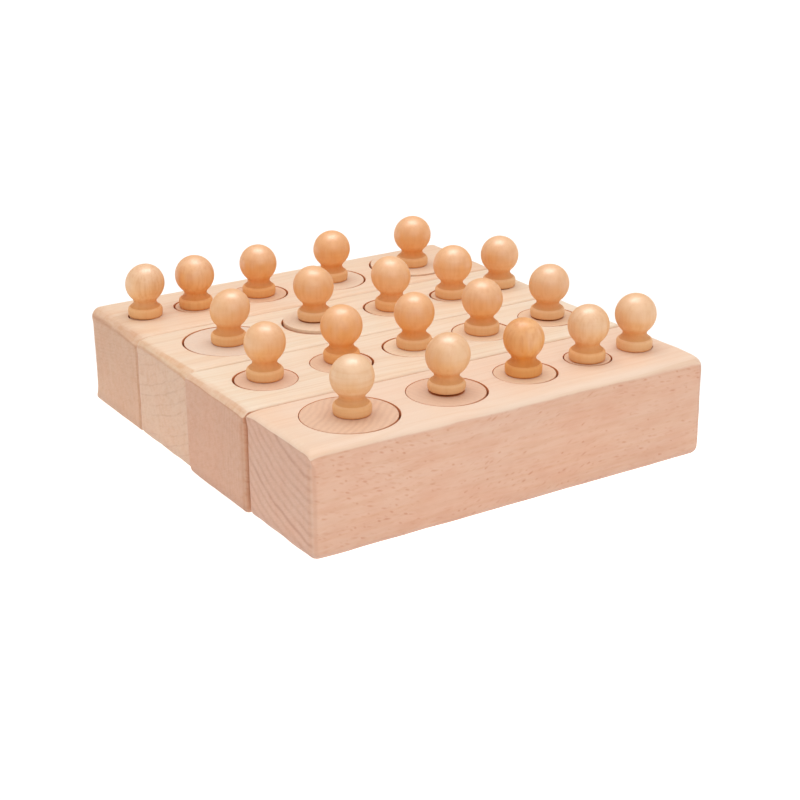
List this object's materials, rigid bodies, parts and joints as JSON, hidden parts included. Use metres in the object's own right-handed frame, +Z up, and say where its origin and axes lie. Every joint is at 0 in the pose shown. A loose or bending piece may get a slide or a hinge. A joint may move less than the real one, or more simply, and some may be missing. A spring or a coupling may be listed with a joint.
{
  "type": "knobbed cylinder block",
  "caption": "Set of wooden blocks side by side, each with a row of graded round sockets holding loose cylinders that lift out by turned ball knobs.",
  "frame": {"origin": "on the surface the blocks stand on, under the middle of the set", "axes": "+X along the blocks to the right, +Y from the front block to the back block, +Z up along the knobs"},
  "size_m": [0.1516, 0.16, 0.0549],
  "materials": {
    "block_wood": "sanded, bare beech",
    "cylinder_wood": "sanded, bare beech",
    "knob_wood": "clear gloss lacquer"
  },
  "bodies": {
    "block_1": {"block_1": "block_wood"},
    "block_2": {"block_2": "block_wood"},
    "block_3": {"block_3": "block_wood"},
    "block_4": {"block_4": "block_wood"},
    "cylinder_1_1": {"cylinder_1_1": "cylinder_wood", "knob_1_1": "knob_wood"},
    "cylinder_1_2": {"cylinder_1_2": "cylinder_wood", "knob_1_2": "knob_wood"},
    "cylinder_1_3": {"cylinder_1_3": "cylinder_wood", "knob_1_3": "knob_wood"},
    "cylinder_1_4": {"cylinder_1_4": "cylinder_wood", "knob_1_4": "knob_wood"},
    "cylinder_1_5": {"cylinder_1_5": "cylinder_wood", "knob_1_5": "knob_wood"},
    "cylinder_2_1": {"cylinder_2_1": "cylinder_wood", "knob_2_1": "knob_wood"},
    "cylinder_2_2": {"cylinder_2_2": "cylinder_wood", "knob_2_2": "knob_wood"},
    "cylinder_2_3": {"cylinder_2_3": "cylinder_wood", "knob_2_3": "knob_wood"},
    "cylinder_2_4": {"cylinder_2_4": "cylinder_wood", "knob_2_4": "knob_wood"},
    "cylinder_2_5": {"cylinder_2_5": "cylinder_wood", "knob_2_5": "knob_wood"},
    "cylinder_3_1": {"cylinder_3_1": "cylinder_wood", "knob_3_1": "knob_wood"},
    "cylinder_3_2": {"cylinder_3_2": "cylinder_wood", "knob_3_2": "knob_wood"},
    "cylinder_3_3": {"cylinder_3_3": "cylinder_wood", "knob_3_3": "knob_wood"},
    "cylinder_3_4": {"cylinder_3_4": "cylinder_wood", "knob_3_4": "knob_wood"},
    "cylinder_3_5": {"cylinder_3_5": "cylinder_wood", "knob_3_5": "knob_wood"},
    "cylinder_4_1": {"cylinder_4_1": "cylinder_wood", "knob_4_1": "knob_wood"},
    "cylinder_4_2": {"cylinder_4_2": "cylinder_wood", "knob_4_2": "knob_wood"},
    "cylinder_4_3": {"cylinder_4_3": "cylinder_wood", "knob_4_3": "knob_wood"},
    "cylinder_4_4": {"cylinder_4_4": "cylinder_wood", "knob_4_4": "knob_wood"},
    "cylinder_4_5": {"cylinder_4_5": "cylinder_wood", "knob_4_5": "knob_wood"}
  },
  "joints": [
    {"name": "block_2_pull_apart", "type": "slide", "parent": "block_1", "child": "block_2", "axis": [0, 1, 0], "range_m": [0, 0.06]},
    {"name": "block_3_pull_apart", "type": "slide", "parent": "block_2", "child": "block_3", "axis": [0, 1, 0], "range_m": [0, 0.06]},
    {"name": "block_4_pull_apart", "type": "slide", "parent": "block_3", "child": "block_4", "axis": [0, 1, 0], "range_m": [0, 0.06]},
    {"name": "cylinder_1_1_lift", "type": "slide", "parent": "block_1", "child": "cylinder_1_1", "axis": [0, 0, 1], "range_m": [0, 0.029]},
    {"name": "cylinder_1_2_lift", "type": "slide", "parent": "block_1", "child": "cylinder_1_2", "axis": [0, 0, 1], "range_m": [0, 0.029]},
    {"name": "cylinder_1_3_lift", "type": "slide", "parent": "block_1", "child": "cylinder_1_3", "axis": [0, 0, 1], "range_m": [0, 0.029]},
    {"name": "cylinder_1_4_lift", "type": "slide", "parent": "block_1", "child": "cylinder_1_4", "axis": [0, 0, 1], "range_m": [0, 0.029]},
    {"name": "cylinder_1_5_lift", "type": "slide", "parent": "block_1", "child": "cylinder_1_5", "axis": [0, 0, 1], "range_m": [0, 0.029]},
    {"name": "cylinder_2_1_lift", "type": "slide", "parent": "block_2", "child": "cylinder_2_1", "axis": [0, 0, 1], "range_m": [0, 0.032]},
    {"name": "cylinder_2_2_lift", "type": "slide", "parent": "block_2", "child": "cylinder_2_2", "axis": [0, 0, 1], "range_m": [0, 0.027]},
    {"name": "cylinder_2_3_lift", "type": "slide", "parent": "block_2", "child": "cylinder_2_3", "axis": [0, 0, 1], "range_m": [0, 0.022]},
    {"name": "cylinder_2_4_lift", "type": "slide", "parent": "block_2", "child": "cylinder_2_4", "axis": [0, 0, 1], "range_m": [0, 0.017]},
    {"name": "cylinder_2_5_lift", "type": "slide", "parent": "block_2", "child": "cylinder_2_5", "axis": [0, 0, 1], "range_m": [0, 0.012]},
    {"name": "cylinder_3_1_lift", "type": "slide", "parent": "block_3", "child": "cylinder_3_1", "axis": [0, 0, 1], "range_m": [0, 0.032]},
    {"name": "cylinder_3_2_lift", "type": "slide", "parent": "block_3", "child": "cylinder_3_2", "axis": [0, 0, 1], "range_m": [0, 0.027]},
    {"name": "cylinder_3_3_lift", "type": "slide", "parent": "block_3", "child": "cylinder_3_3", "axis": [0, 0, 1], "range_m": [0, 0.022]},
    {"name": "cylinder_3_4_lift", "type": "slide", "parent": "block_3", "child": "cylinder_3_4", "axis": [0, 0, 1], "range_m": [0, 0.017]},
    {"name": "cylinder_3_5_lift", "type": "slide", "parent": "block_3", "child": "cylinder_3_5", "axis": [0, 0, 1], "range_m": [0, 0.012]},
    {"name": "cylinder_4_1_lift", "type": "slide", "parent": "block_4", "child": "cylinder_4_1", "axis": [0, 0, 1], "range_m": [0, 0.032]},
    {"name": "cylinder_4_2_lift", "type": "slide", "parent": "block_4", "child": "cylinder_4_2", "axis": [0, 0, 1], "range_m": [0, 0.027]},
    {"name": "cylinder_4_3_lift", "type": "slide", "parent": "block_4", "child": "cylinder_4_3", "axis": [0, 0, 1], "range_m": [0, 0.022]},
    {"name": "cylinder_4_4_lift", "type": "slide", "parent": "block_4", "child": "cylinder_4_4", "axis": [0, 0, 1], "range_m": [0, 0.017]},
    {"name": "cylinder_4_5_lift", "type": "slide", "parent": "block_4", "child": "cylinder_4_5", "axis": [0, 0, 1], "range_m": [0, 0.012]}
  ]
}
